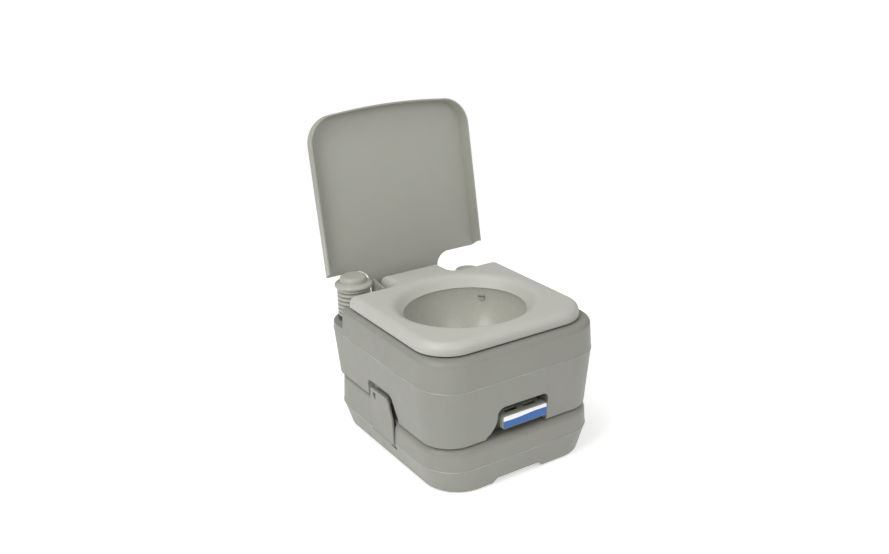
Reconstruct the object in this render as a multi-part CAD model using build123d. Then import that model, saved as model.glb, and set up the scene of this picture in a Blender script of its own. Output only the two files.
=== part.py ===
from build123d import *
import os
from math import cos, radians, sin

# Portable camp toilet: a blow-moulded waste tank with a sliding valve, and a flush tank with the bowl,
# bellows pump, seat and lid, which lifts off it. Millimetres. The origin is on the floor under the
# middle of the tanks. The front, with the valve handle, faces -Y, and +Z is up.

wall = 3.0
fit = 0.3

# Waste tank
waste_width = 351.0
waste_depth = 402.0
waste_front_corner = 70.0
waste_rear_corner = 68.0
waste_foot_width = 322.0
waste_foot_depth = 390.0
waste_seam_z = 48.8
waste_deck_z = 90.0
waste_rear_z = 108.0
waste_high_draft = 3.0
waste_shoulder = 14.0
waste_rear_round = 9.0
waste_foot_round = 8.0
step_y = 38.5
arch_left_x = -56.0
arch_right_x = 34.0
arch_slope = 14.0
arch_height = 12.0
arch_depth = 46.0

# Flush tank
flush_width = 365.0
flush_depth = 408.0
flush_front_corner = 70.0
flush_rear_corner = 56.0
flush_seam_z = 201.5
flush_top_z = 256.0
flush_bottom_z = 91.5
flush_rear_bottom_z = 110.0
flush_low_draft = 5.5
flush_high_draft = 3.7
flush_top_round = 9.0
flush_bottom_round = 4.0
shelf_y = 126.0
shelf_z = 215.0
seam_proud = 0.5
seam_height = 1.0

# Bowl
bowl_y = -18.0
bowl_half_x = 120.0
bowl_half_y = 110.0
bowl_wall = 2.5
bowl_rim = 7.0
bowl_rim_thick = 2.0
spreader_angle = 42.0
spreader_z = 241.0
spreader_r = 7.0
hose_r = 6.0
outlet_r = 45.0
outlet_z = 129.5

# Valve between the tanks
valve_half_x = 62.0
valve_front_y = -168.0
valve_rear_y = 48.0
valve_top_z = 126.0
blade_half_x = 54.0
blade_low_z = 116.5
blade_thick = 3.5
blade_corner = 20.0
channel_half_x = 66.0
channel_top_z = 131.0
screw_r = 2.0
screw_head_r = 3.2
screw_seat_z = valve_top_z - 3.0
housing_corner = 8.0
housing_bevel = 2.0
recess_top_z = 149.0
recess_half_x = 56.0
recess_flare = 20.0
recess_right_x = 53.0
label_half_x = 47.0
label_half_z = 11.2
handle_half_x = 49.0
handle_front_y = -202.0
handle_low_z = 107.0
handle_high_z = 133.0
handle_thick = 9.0
handle_corner = 5.5
handle_edge_round = 1.6
label_corner = 3.8
label_thick = 0.6
label_sunk = 0.8
stem_half_x = 22.0
web_half_x = 44.0
web_depth = 20.0
web_slot_x = 20.0
web_slot_half = 13.0

# Side latches
latch_in_x = 174.5
latch_out_x = 178.5
latch_lip_x = 170.0
latch_axis_x = 175.0
latch_axis_z = 46.0
latch_barrel_r = 4.5
latch_pin_r = 1.6
pocket_floor_x = 169.0
pocket_low_y = -46.6
pocket_high_y = 38.5
pocket_low_z = 34.0
scoop_floor_x = 163.0
scoop_outer_x = 192.0
scoop_taper = 16.0
latch_top_z = 131.5

# Lid and seat hinge
hinge_y = 167.0
hinge_z = 253.0
swing_clear_r = 52.3
pin_r = 4.0
lug_in_x = 50.0
lug_out_x = 60.0
lug_r = 10.0

# Seat
seat_half_x = 169.5
seat_front_y = -181.0
seat_rear_y = 124.0
seat_low_z = 259.0
seat_top_z = 280.0
seat_corner = 66.0
seat_rear_corner = 12.0
seat_draft = 6.0
seat_top_round = 14.0
seat_inner_round = 24.0
seat_lip_in = 5.0
seat_funnel_out = 15.0
seat_block_fillet = 18.0
seat_block_half_x = 66.0
seat_block_rear_y = 180.0

# Lid, modelled closed and then turned open about the hinge
lid_half_x = 175.0
lid_front_y = -189.0
lid_low_z = 258.0
lid_top_z = 285.0
lid_corner = 56.0
lid_bow = 6.0
lid_draft = 6.0
lid_skin = 2.8
lid_notch = 42.0
lid_notch_fillet = 28.0
lid_tab_half_x = 78.0
lid_tab_rear_y = 181.0
lid_open_angle = 100.0
ear_in_x = 67.5
ear_out_x = 73.5

# Bellows pump and filler on the rear shelf
pump_x = -133.0
pump_y = 165.0
bellows_r = 32.5
bellows_folds = 7
bellows_low_z = 221.0
bellows_high_z = 279.0
pump_collar_r = 36.5
pump_collar_top_z = 287.0
pump_knob_r = 26.0
pump_knob_top_z = 300.0
pump_body_r = 14.0
hose_out_z = 196.0
filler_x = 131.0
filler_neck_r = 21.0
filler_neck_z = 246.0
filler_y = 165.0
filler_cap_r = 26.5
filler_cap_top_z = 253.5

# Emptying spout in its bay behind the waste tank
spout_x = 58.0
spout_y = 152.0
spout_z = 76.0
spout_r = 21.0
spout_reach = 120.0
spout_cap_r = 26.0
cap_ribs = 24
bay_floor_z = 45.0
bay_low_x = -112.0
bay_high_x = 92.0
bay_front_y = 121.0


def block(x, y, z):
    # Box between (low, high) limits on each axis.
    size = (x[1] - x[0], y[1] - y[0], z[1] - z[0])
    middle = ((x[0] + x[1]) / 2, (y[0] + y[1]) / 2, (z[0] + z[1]) / 2)
    return Pos(*middle) * Box(*size)


def post(x, y, z_low, z_high, radius):
    # Upright cylinder.
    return Pos(x, y, (z_low + z_high) / 2) * Cylinder(radius, z_high - z_low)


def rod(x_low, x_high, y, z, radius):
    # Cylinder lying along X.
    return Pos((x_low + x_high) / 2, y, z) * Rot(0, 90, 0) * Cylinder(radius, x_high - x_low)


def rod_y(y_low, y_high, x, z, radius):
    # Cylinder lying along Y.
    return Pos(x, (y_low + y_high) / 2, z) * Rot(90, 0, 0) * Cylinder(radius, y_high - y_low)


def ring(x, y, z_low, z_high, outer, inner):
    # Upright ring with square section.
    return post(x, y, z_low, z_high, outer) - post(x, y, z_low - 1, z_high + 1, inner)


def tank_outline(width, depth, front_corner, rear_corner, z):
    # Rounded rectangle with its own corner radius in front and behind.
    outline = Rectangle(width, depth)
    corners = outline.vertices().group_by(Axis.Y)
    outline = fillet(corners[0], front_corner)
    outline = fillet(outline.vertices().group_by(Axis.Y)[-1], rear_corner)
    return Pos(0, 0, z) * outline


def seam(width, depth, front_corner, rear_corner, z):
    # Thin ridge where the two halves of the mould met.
    grown = (width + 2 * seam_proud, depth + 2 * seam_proud)
    outline = tank_outline(*grown, front_corner + seam_proud, rear_corner + seam_proud, z - seam_height / 2)
    return extrude(outline, amount=seam_height)


# Recesses are functions of grow, so the same shape cuts the outside of a tank at grow 0
# and leaves a wall round itself in the tank's cavity when it is grown by the wall.
def front_arch(grow=0.0):
    # Low arch under the front edge of the waste tank.
    left = arch_left_x - grow
    right = arch_right_x + grow
    top = arch_height + grow
    corners = [(left - arch_slope, -1), (left, top), (right, top), (right + arch_slope, -1)]
    profile = Polyline(*corners, close=True)
    face = Plane.XZ.offset(waste_depth / 2 + 5) * make_face(profile)
    return extrude(face, amount=-(arch_depth + 5 + grow))


def latch_pocket(side, grow=0.0):
    # Pocket in the side of the waste tank that holds a latch.
    x = sorted((side * (pocket_floor_x - grow), side * 200))
    y = (pocket_low_y - grow, pocket_high_y + grow)
    z = (pocket_low_z - grow, waste_rear_z + 20)
    return block(x, y, z)


def spout_bay(grow=0.0):
    # Open bay across the back of the waste tank.
    x = (bay_low_x - grow, bay_high_x + grow)
    y = (bay_front_y - grow, 230)
    return block(x, y, (bay_floor_z - grow, 130))


def front_recess(grow=0.0):
    # Recess round the valve handle, flaring to the lower edge of the flush tank on its left
    # and straight down on its right.
    top = recess_top_z + grow
    narrow = -recess_half_x - grow
    wide = narrow - recess_flare
    right = recess_right_x + grow
    low = 75.0
    edges = [
        Line((wide - 12, low), (wide, 98)),
        ThreePointArc((wide, 98), (narrow - 5, 113), (narrow, 134)),
        ThreePointArc((narrow, 134), (narrow + 5, 145), (narrow + 15, top)),
        Line((narrow + 15, top), (right - 12, top)),
        ThreePointArc((right - 12, top), (right - 3, 145), (right, 134)),
        Line((right, 134), (right, low)),
        Line((right, low), (wide - 12, low)),
    ]
    face = Plane.XZ.offset(flush_depth / 2 + 6) * make_face(Wire(edges))
    return extrude(face, amount=-(40 + grow))


def valve_channel(grow=0.0):
    # Channel under the flush tank that clears the valve housing.
    x = (-channel_half_x - grow, channel_half_x + grow)
    y = (valve_front_y - 6 - grow, valve_rear_y + 6 + grow)
    return block(x, y, (60, channel_top_z + grow))


def latch_scoop(side, grow=0.0):
    # Scooped recess in the side of the flush tank above a latch.
    corners = [(-66, 80), (-62, 104), (-46, 140), (-36, 148), (40, 148), (50, 138), (54, 80)]
    face = make_face(Polyline(*corners, close=True))
    face = Plane.YZ.offset(scoop_outer_x) * face
    depth = scoop_outer_x - scoop_floor_x + grow
    scoop = extrude(face, amount=-depth, taper=scoop_taper)
    if grow > 0:
        scoop = scoop + extrude(offset(face, grow), amount=-depth, taper=scoop_taper)
    if side < 0:
        scoop = mirror(scoop, about=Plane.YZ)
    return scoop


def waste_body(inset=0.0):
    # The foot is narrower than the seam, and the sides above it lean in a little. The front part
    # ends in the deck under the flush tank, and the rear part is a higher block.
    corners = (waste_front_corner - inset, waste_rear_corner - inset)
    middle = tank_outline(waste_width - 2 * inset, waste_depth - 2 * inset, *corners, waste_seam_z)
    foot = tank_outline(waste_foot_width - 2 * inset, waste_foot_depth - 2 * inset, *corners, inset)
    lower = loft([foot, middle], ruled=True)
    lower = fillet(lower.edges().group_by(Axis.Z)[0], waste_foot_round - inset)
    front = extrude(middle, amount=waste_deck_z - inset - waste_seam_z, taper=waste_high_draft)
    front = fillet(front.edges().group_by(Axis.Z)[-1], waste_shoulder - inset)
    rear = extrude(middle, amount=waste_rear_z - inset - waste_seam_z, taper=waste_high_draft)
    rear = fillet(rear.edges().group_by(Axis.Z)[-1], waste_rear_round - inset)
    rear = rear - block((-230, 230), (-230, step_y + inset), (0, 150))
    notch_half = valve_half_x + 2 + inset
    notch_y = (-10, valve_rear_y + 2 + inset)
    rear = rear - block((-notch_half, notch_half), notch_y, (waste_deck_z - inset, 150))
    return lower + front + rear


def waste_tank():
    ridge = seam(waste_width, waste_depth, waste_front_corner, waste_rear_corner, waste_seam_z)
    outer = waste_body() + ridge
    cavity = waste_body(wall)
    for recess in (front_arch, spout_bay):
        outer = outer - recess()
        cavity = cavity - recess(wall)
    for side in (-1, 1):
        outer = outer - latch_pocket(side)
        cavity = cavity - latch_pocket(side, wall)
    tank = outer - cavity
    tank = tank - post(0, bowl_y, waste_deck_z - 10, waste_deck_z + 10, outlet_r)
    tank = tank - post(spout_x, spout_y, bay_floor_z - 10, bay_floor_z + 10, spout_r - 3)
    for side in (-1, 1):
        tank = tank - latch_pin(side)
    return tank



def valve_housing():
    # Frame with a slot for the blade and a round way through.
    size_x = (-valve_half_x, valve_half_x)
    housing = block(size_x, (valve_front_y, valve_rear_y), (waste_deck_z, valve_top_z))
    housing = fillet(housing.edges().filter_by(Axis.Z), housing_corner)
    housing = chamfer(housing.edges().group_by(Axis.Z)[-1], housing_bevel)
    slot_x = (-blade_half_x - fit, blade_half_x + fit)
    slot_z = (blade_low_z - fit, blade_low_z + blade_thick + fit)
    housing = housing - block(slot_x, (valve_front_y - 5, valve_rear_y - 6), slot_z)
    housing = housing - post(0, bowl_y, waste_deck_z - 1, valve_top_z + 1, outlet_r)
    pocket_x = (-valve_half_x + 8, valve_half_x - 8)
    pocket_y = (valve_front_y + 6, bowl_y - outlet_r - 8)
    housing = housing - block(pocket_x, pocket_y, (waste_deck_z - 1, blade_low_z - 4))
    for x, y in valve_screw_places():
        housing = housing - post(x, y, waste_deck_z - 1, valve_top_z + 1, screw_r)
        housing = housing - post(x, y, screw_seat_z, valve_top_z + 1, screw_head_r)
    return housing


def valve_screw_places():
    # Three screws down each side of the housing, outside the blade's slot.
    across = valve_half_x - 4
    return [(side * across, y) for side in (-1, 1) for y in (-140, -60, 20)]


def valve_screws():
    screws = []
    for x, y in valve_screw_places():
        shank = post(x, y, waste_deck_z, screw_seat_z, screw_r)
        head = post(x, y, screw_seat_z, valve_top_z - 0.6, screw_head_r)
        screws.append(shank + head)
    return Compound(children=screws)


def valve_seal():
    return ring(0, bowl_y, valve_top_z, outlet_z - 0.1, outlet_r + 9, outlet_r)


def valve_blade():
    # Flat gate with a stem to the handle.
    z = (blade_low_z, blade_low_z + blade_thick)
    rear = bowl_y + outlet_r + 9
    gate = block((-blade_half_x, blade_half_x), (bowl_y - outlet_r - 9, rear), z)
    gate = fillet(gate.edges().filter_by(Axis.Z), blade_corner)
    stem = block((-stem_half_x, stem_half_x), (handle_front_y + handle_thick, bowl_y - outlet_r - 8), z)
    return gate + stem


def handle_face(depth):
    # Plane across the front of the handle, that far behind its face, with its middle as origin.
    middle_z = (handle_low_z + handle_high_z) / 2
    return Plane.XZ.offset(-handle_front_y - depth) * Pos(0, middle_z)


def valve_handle():
    # Pull plate with a recess for the label, and a slotted web behind its top edge for the fingers.
    outline = RectangleRounded(2 * handle_half_x, handle_high_z - handle_low_z, handle_corner)
    plate = extrude(handle_face(0) * outline, amount=-handle_thick)
    plate = fillet(plate.faces().sort_by(Axis.Y)[0].edges(), handle_edge_round)
    room = 2 * fit
    window = RectangleRounded(2 * label_half_x + room, 2 * label_half_z + room, label_corner + fit)
    plate = plate - extrude(handle_face(-1) * window, amount=-1 - label_sunk)
    back_y = handle_front_y + handle_thick
    web_z = (handle_high_z - 5, handle_high_z - 2)
    web = block((-web_half_x, web_half_x), (back_y, back_y + web_depth), web_z)
    for x in (-web_slot_x, web_slot_x):
        slot_y = (back_y + 5, back_y + web_depth - 5)
        web = web - block((x - web_slot_half, x + web_slot_half), slot_y, (web_z[0] - 1, web_z[1] + 1))
    grip = block((-stem_half_x, stem_half_x), (back_y, back_y + 6), (blade_low_z + blade_thick, web_z[0]))
    return plate + web + grip


def handle_label():
    outline = RectangleRounded(2 * label_half_x, 2 * label_half_z, label_corner)
    return extrude(handle_face(label_sunk - label_thick) * outline, amount=-label_thick)


def latch(side):
    # Spring clip with a hooked lip on top, a small window under it and a barrel to turn on.
    corners = [
        (-46, latch_axis_z),
        (32, latch_axis_z),
        (34, latch_top_z - 3.5),
        (31, latch_top_z),
        (-25, latch_top_z),
        (-31, latch_top_z - 5.5),
        (-44, 94),
    ]
    face = Plane.YZ.offset(latch_in_x) * make_face(Polyline(*corners, close=True))
    plate = extrude(face, amount=latch_out_x - latch_in_x)
    plate = fillet(plate.faces().sort_by(Axis.X)[-1].edges(), 1.2)
    lip = block((latch_lip_x, latch_in_x + 1), (-22, 30), (latch_top_z - 4, latch_top_z - 0.5))
    lip = fillet(lip.edges().filter_by(Axis.Y).sort_by(Axis.X)[:2], 1.2)
    triangle = Polyline((13, 125), (25, 125), (17, 110), close=True)
    window = extrude(Plane.YZ.offset(latch_in_x - 1) * make_face(triangle), amount=6)
    barrel = rod_y(-42, 30, latch_axis_x, latch_axis_z, latch_barrel_r)
    clip = plate + lip + barrel - window
    clip = clip - rod_y(-60, 60, latch_axis_x, latch_axis_z, latch_pin_r + 0.1)
    if side < 0:
        clip = mirror(clip, about=Plane.YZ)
    return clip


def latch_left():
    return latch(-1)


def latch_right():
    return latch(1)


def latch_pin(side):
    low = pocket_low_y - 2
    high = pocket_high_y + 2
    return rod_y(low, high, side * latch_axis_x, latch_axis_z, latch_pin_r)


def latch_pins():
    return Compound(children=[latch_pin(-1), latch_pin(1)])


def pour_spout():
    # Hollow elbow: an upright barrel in the tank's hole and a tube lying across the bay.
    tube_end = spout_x - spout_reach
    top_z = spout_z + spout_r
    barrel = post(spout_x, spout_y, bay_floor_z + 0.5, spout_z, spout_r)
    knuckle = Pos(spout_x, spout_y, spout_z) * Sphere(spout_r)
    tube = rod(tube_end, spout_x, spout_y, spout_z, spout_r)
    neck = post(spout_x, spout_y, bay_floor_z - 9, bay_floor_z + 1, spout_r - 3.5)
    inner_r = spout_r - 6
    way = post(spout_x, spout_y, bay_floor_z - 10, spout_z, inner_r)
    way = way + Pos(spout_x, spout_y, spout_z) * Sphere(inner_r)
    way = way + rod(tube_end - 1, spout_x, spout_y, spout_z, inner_r)
    spout = barrel + knuckle + tube + neck
    threads = rod(tube_end + 2, tube_end + 5, spout_y, spout_z, spout_r + 1)
    threads = threads + rod(tube_end + 8, tube_end + 11, spout_y, spout_z, spout_r + 1)
    collar = rod(tube_end + 22, tube_end + 26, spout_y, spout_z, spout_r + 3)
    return spout + threads + collar - way


def spout_retainer():
    # Ring under the bay's floor that keeps the spout's neck in the tank.
    floor = bay_floor_z - wall
    return ring(spout_x, spout_y, floor - 5, floor, spout_r + 4, spout_r - 3.2)


def spout_swivel_seal():
    return ring(spout_x, spout_y, bay_floor_z, bay_floor_z + 0.4, spout_r - 0.5, spout_r - 3.2)


def spout_cap_seal():
    end = spout_x - spout_reach
    return rod(end - 2, end, spout_y, spout_z, spout_r) - rod(end - 3, end + 1, spout_y, spout_z, spout_r - 6)


def spout_cap():
    # Screw cap with grip ribs round its skirt.
    end = spout_x - spout_reach
    cap = rod(end - 6, end + 16, spout_y, spout_z, spout_cap_r)
    cap = fillet(cap.edges().sort_by(Axis.X)[0], 3)
    cap = cap - rod(end - 2, end + 17, spout_y, spout_z, spout_r + 1 + fit)
    for step in range(cap_ribs):
        angle = radians(360 / cap_ribs * step)
        y = spout_y + spout_cap_r * cos(angle)
        z = spout_z + spout_cap_r * sin(angle)
        cap = cap + rod(end - 2, end + 16, y, z, 0.9)
    return cap


def flush_body(inset=0.0):
    # Both halves lean in from the seam.
    corners = (flush_front_corner - inset, flush_rear_corner - inset)
    middle = tank_outline(flush_width - 2 * inset, flush_depth - 2 * inset, *corners, flush_seam_z)
    lower = extrude(middle, amount=flush_bottom_z + inset - flush_seam_z, taper=flush_low_draft)
    upper = extrude(middle, amount=flush_top_z - inset - flush_seam_z, taper=flush_high_draft)
    lower = fillet(lower.edges().group_by(Axis.Z)[0], flush_bottom_round - inset / 2)
    upper = fillet(upper.edges().group_by(Axis.Z)[-1], flush_top_round - inset)
    return lower + upper


def rear_shelf(grow=0.0):
    # What is taken off behind the deck to leave the shelf for the pump and the filler.
    return block((-230, 230), (shelf_y - grow, 230), (shelf_z - grow, 300))


def rear_underside(grow=0.0):
    # What is taken off below, over the waste tank's higher rear block.
    return block((-230, 230), (step_y - 2 - grow, 230), (80, flush_rear_bottom_z + grow))


def bowl_solid(inset=0.0, grow=0.0):
    # Outside of the bowl: an ellipse at the rim that narrows to the round outlet.
    levels = [
        (flush_top_z, bowl_half_x, bowl_half_y),
        (232, bowl_half_x - 2, bowl_half_y - 2),
        (200, bowl_half_x - 12, bowl_half_y - 12),
        (165, bowl_half_x - 37, bowl_half_y - 34),
        (142, bowl_half_x - 66, bowl_half_y - 57),
        (channel_top_z + wall, outlet_r + bowl_wall, outlet_r + bowl_wall),
    ]
    rings = [Pos(0, bowl_y, z) * Ellipse(a - inset + grow, b - inset + grow) for z, a, b in levels]
    cup = loft(rings)
    outlet = post(0, bowl_y, outlet_z, channel_top_z + wall, outlet_r + bowl_wall - inset + grow)
    return cup + outlet


def bowl():
    rim = Pos(0, bowl_y, flush_top_z) * Ellipse(bowl_half_x + bowl_rim, bowl_half_y + bowl_rim)
    shape = bowl_solid() + extrude(rim, amount=bowl_rim_thick)
    mouth = Pos(0, bowl_y, flush_top_z) * Ellipse(bowl_half_x - bowl_wall, bowl_half_y - bowl_wall)
    shape = shape - bowl_solid(inset=bowl_wall) - extrude(mouth, amount=bowl_rim_thick + 1)
    shape = shape - post(0, bowl_y, outlet_z - 1, channel_top_z + wall + 1, outlet_r)
    return shape - spreader_hole()


def bowl_outlet_seal():
    low = channel_top_z + wall
    seal = ring(0, bowl_y, low + 0.2, low + 5, outlet_r + bowl_wall + 12, outlet_r + bowl_wall + 6)
    return seal - bowl_solid(grow=0.1)


def spreader_place():
    # Frame at the bowl's rear right rim, looking outwards along the nozzle.
    angle = radians(spreader_angle)
    x = bowl_half_x * cos(angle)
    y = bowl_y + bowl_half_y * sin(angle)
    return Plane(origin=(x, y, spreader_z), z_dir=(cos(angle), sin(angle), 0))


def spreader_hole():
    return spreader_place() * Pos(0, 0, -6) * Cylinder(spreader_r + 0.1, 24)


def flush_spreader():
    # Nozzle through the bowl's wall, with a flat slot inwards and a barb outwards.
    place = spreader_place()
    nozzle = place * Cylinder(spreader_r, 12)
    barb = place * Pos(0, 0, 12) * Cylinder(hose_r - 1.6, 14)
    slot = place * Pos(0, 0, -4) * Box(40, 4, 6)
    flange = place * Pos(0, 0, 7) * Cylinder(spreader_r + 3, 3)
    return nozzle + flange + barb - slot


def flush_hose():
    # From the pump's valve body, forward under the shelf and round the back of the bowl to the nozzle.
    place = spreader_place()
    outwards = place.z_dir
    start = Vector(pump_x + pump_body_r, pump_y, hose_out_z)
    finish = place.origin + outwards * 12
    route = [
        start,
        Vector(-75, pump_y, hose_out_z),
        Vector(-40, 108, 203),
        Vector(50, 108, 235),
        finish + outwards * 30,
        finish,
    ]
    path = FilletPolyline(*route, radius=[30, 40, 40, 14])
    hose = sweep(Plane(origin=start, z_dir=(1, 0, 0)) * Circle(hose_r), path=path)
    return hose - place * Pos(0, 0, 12) * Cylinder(hose_r - 1.6, 14.2)


def flush_tank():
    outer = flush_body() + seam(flush_width, flush_depth, flush_front_corner, flush_rear_corner, flush_seam_z)
    outer = outer - rear_shelf() - rear_underside()
    cavity = flush_body(wall) - rear_shelf(wall) - rear_underside(wall)
    for recess in (front_recess, valve_channel):
        outer = outer - recess()
        cavity = cavity - recess(wall)
    for side in (-1, 1):
        outer = outer - latch_scoop(side)
        cavity = cavity - latch_scoop(side, wall)
    tank = outer - cavity
    for side in (-1, 1):
        tank = tank + catch(side) + hinge_lug(side)
        tank = tank - rod(side * lug_in_x - 15, side * lug_in_x + 15, hinge_y, hinge_z, pin_r)
        for y in (-120, 10):
            tank = tank + post(side * 110, y, waste_deck_z, flush_bottom_z + 1, 9)
    tank = tank - bowl_solid(grow=0.1)
    tank = tank + ring(filler_x, filler_y, shelf_z - 1, filler_neck_z, filler_neck_r, filler_neck_r - 3)
    tank = tank - post(filler_x, filler_y, shelf_z - 8, shelf_z + 1, filler_neck_r - 3)
    tank = tank - post(pump_x, pump_y, shelf_z - 8, shelf_z + 1, pump_body_r + 4)
    return tank


def catch(side):
    # Ledge in the scoop that the latch's lip hooks over.
    x = sorted((side * (scoop_floor_x - 1), side * (latch_lip_x - fit)))
    return block(x, (-20, 26), (116, 126.5))


def hinge_lug(side):
    x = sorted((side * lug_in_x, side * lug_out_x))
    foot = block(x, (hinge_y - lug_r, hinge_y + lug_r), (shelf_z - 1, hinge_z))
    return foot + rod(x[0], x[1], hinge_y, hinge_z, lug_r)


def hinge_pin(side):
    # Pin with a head outside the lid's ear, held in the tank's lug.
    x = sorted((side * (lug_in_x - 2), side * (ear_out_x + fit)))
    head = sorted((side * (ear_out_x + fit), side * (ear_out_x + 3)))
    return rod(x[0], x[1], hinge_y, hinge_z, pin_r) + rod(head[0], head[1], hinge_y, hinge_z, pin_r + 2.5)


def hinge_pin_left():
    return hinge_pin(-1)


def hinge_pin_right():
    return hinge_pin(1)


def seat_outline(inset, z):
    # Broad round corners in front, two lobes behind and the hinge block between them.
    ring = Rectangle(2 * (seat_half_x - inset), seat_rear_y - seat_front_y - 2 * inset)
    ring = Pos(0, (seat_front_y + seat_rear_y) / 2) * ring
    rear = seat_block_rear_y if inset == 0 else seat_block_rear_y + 10
    half = seat_block_half_x - inset
    middle = Pos(0, (rear + bowl_y) / 2) * Rectangle(2 * half, rear - bowl_y)
    outline = ring + middle
    levels = outline.vertices().group_by(Axis.Y)
    outline = fillet(levels[0], seat_corner - inset)
    inner = [v for v in outline.vertices() if abs(abs(v.X) - half) < 1 and abs(v.Y - seat_rear_y) < 5]
    outline = fillet(inner, seat_block_fillet + inset)
    lobes = [v for v in outline.vertices() if abs(abs(v.X) - seat_half_x) < 5 and v.Y > 0]
    outline = fillet(lobes, seat_rear_corner - inset)
    return Pos(0, 0, z) * outline


def seat_solid(inset=0.0):
    # The seat's outside at inset 0, and the hollow under it at inset wall.
    height = seat_top_z - inset - seat_low_z
    shape = extrude(seat_outline(inset, seat_low_z), amount=height, taper=seat_draft)
    return fillet(shape.edges().group_by(Axis.Z)[-1], seat_top_round - inset)


def seat_opening(grow=0.0):
    lip_x = bowl_half_x - seat_lip_in + grow
    lip_y = bowl_half_y - seat_lip_in + grow
    brim_x = bowl_half_x + seat_funnel_out + grow
    brim_y = bowl_half_y + seat_funnel_out + grow
    low = Pos(0, bowl_y, seat_low_z - 1) * Ellipse(lip_x, lip_y)
    high = Pos(0, bowl_y, seat_top_z + 1) * Ellipse(brim_x, brim_y)
    return loft([low, high])


def swing_clearance(half):
    # Room round the hinge for the pump and the filler, outside the middle block.
    left = rod(-200, -half, hinge_y, hinge_z, swing_clear_r)
    right = rod(half, 200, hinge_y, hinge_z, swing_clear_r)
    return left + right


def seat():
    outer = seat_solid() - seat_opening()
    widest = 2 * bowl_half_x + 30
    lip = outer.edges().group_by(Axis.Z)[-1].filter_by(lambda e: e.bounding_box().size.X < widest)
    outer = fillet(lip, seat_inner_round)
    shape = outer - (seat_solid(wall) - seat_opening(wall)) - swing_clearance(seat_block_half_x + 22)
    for x, y in seat_bumper_places():
        shape = shape + post(x, y, seat_low_z + 1, seat_top_z - 2, 8)
    for side in (-1, 1):
        x = sorted((side * (seat_block_half_x - 2 - wall), side * (seat_block_half_x - 2)))
        arm = rod(x[0], x[1], hinge_y, hinge_z, 9)
        web = block(x, (hinge_y - 30, hinge_y + 9), (hinge_z, seat_low_z + 2))
        shape = shape + arm + web
    return shape - rod(-200, 200, hinge_y, hinge_z, pin_r + fit)


def seat_bumper_places():
    return [(side * 144, y) for side in (-1, 1) for y in (-110, 70)]


def seat_bumpers():
    pads = [post(x, y, flush_top_z + 0.1, seat_low_z + 1, 6) for x, y in seat_bumper_places()]
    return Compound(children=pads)


def lid_solid(inset=0.0):
    # The closed lid's outside at inset 0, and its inside at inset lid_skin.
    half = lid_half_x - inset
    front = lid_front_y + inset
    corner = lid_corner - inset
    edges = [
        Line((-half, lid_tab_rear_y), (-half, front + lid_bow + corner)),
        RadiusArc((-half, front + lid_bow + corner), (-half + corner, front + lid_bow), -corner),
        ThreePointArc((-half + corner, front + lid_bow), (0, front), (half - corner, front + lid_bow)),
        RadiusArc((half - corner, front + lid_bow), (half, front + lid_bow + corner), -corner),
        Line((half, front + lid_bow + corner), (half, lid_tab_rear_y)),
        Line((half, lid_tab_rear_y), (-half, lid_tab_rear_y)),
    ]
    outline = Pos(0, 0, lid_low_z) * make_face(Wire(edges))
    tray = extrude(outline, amount=lid_top_z - inset - lid_low_z, taper=lid_draft)
    return tray


def lid_notch_space(side):
    # Space cut from a rear corner of the lid, with a round inner corner, for the pump or the filler.
    x = sorted((side * lid_tab_half_x, side * 230))
    space = block(x, (hinge_y - lid_notch, 240), (lid_low_z - 1, lid_top_z + 1))
    upright = space.edges().filter_by(Axis.Z)
    inner = upright.filter_by(lambda e: abs(e.center().X) < 100 and e.center().Y < hinge_y)
    return fillet(inner, lid_notch_fillet)


def lid_closed():
    outer = lid_solid()
    outer = fillet(outer.edges().group_by(Axis.Z)[-1], 9)
    room_z = (lid_low_z - 1, lid_top_z - lid_skin)
    tab_room = block((-lid_half_x, lid_half_x), (hinge_y - lid_notch, 240), room_z)
    shape = outer - lid_solid(lid_skin) - tab_room
    for side in (-1, 1):
        shape = shape - lid_notch_space(side) + lid_ear(side)
    shape = shape - swing_clearance(lid_tab_half_x + 22)
    return shape - rod(-200, 200, hinge_y, hinge_z, pin_r + fit)


def lid_ear(side):
    # Ear under the lid's tab, reaching down to the pin.
    corners = [
        (hinge_y - 20, lid_top_z - 1),
        (hinge_y - 9, hinge_z),
        (hinge_y + 9, hinge_z),
        (lid_tab_rear_y - 1, lid_top_z - 12),
        (lid_tab_rear_y - 1, lid_top_z - 1),
    ]
    face = Plane.YZ.offset(ear_in_x) * make_face(Polyline(*corners, close=True))
    ear = extrude(face, amount=ear_out_x - ear_in_x) + rod(ear_in_x, ear_out_x, hinge_y, hinge_z, 9)
    ear = ear - block((0, 200), (0, 300), (lid_top_z - 2, 320))
    if side < 0:
        ear = mirror(ear, about=Plane.YZ)
    return ear


def open_lid(shape):
    # Turn a piece of the lid from closed to open about the hinge.
    turn = Pos(0, hinge_y, hinge_z) * Rot(-lid_open_angle, 0, 0) * Pos(0, -hinge_y, -hinge_z)
    return turn * shape


def lid():
    return open_lid(lid_closed())


def pump_base():
    # Flanged ring on the shelf, with a neck through it.
    flange = post(pump_x, pump_y, shelf_z, bellows_low_z, bellows_r)
    neck = post(pump_x, pump_y, shelf_z - 8, shelf_z + 1, pump_body_r + 3.8)
    return flange + neck - post(pump_x, pump_y, shelf_z - 9, bellows_low_z + 1, pump_body_r - 4)


def pump_valve_body():
    # Cup with the check ball's seat, and a side outlet for the hose.
    low = shelf_z - 34
    high = shelf_z - 8
    body = post(pump_x, pump_y, low, high, pump_body_r)
    body = body - post(pump_x, pump_y, low + 6, high + 1, pump_body_r - 4)
    body = body - post(pump_x, pump_y, low - 1, low + 7, 3)
    return body


def pump_check_ball():
    return Pos(pump_x, pump_y, shelf_z - 34 + 6 + 4) * Sphere(4)


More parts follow.
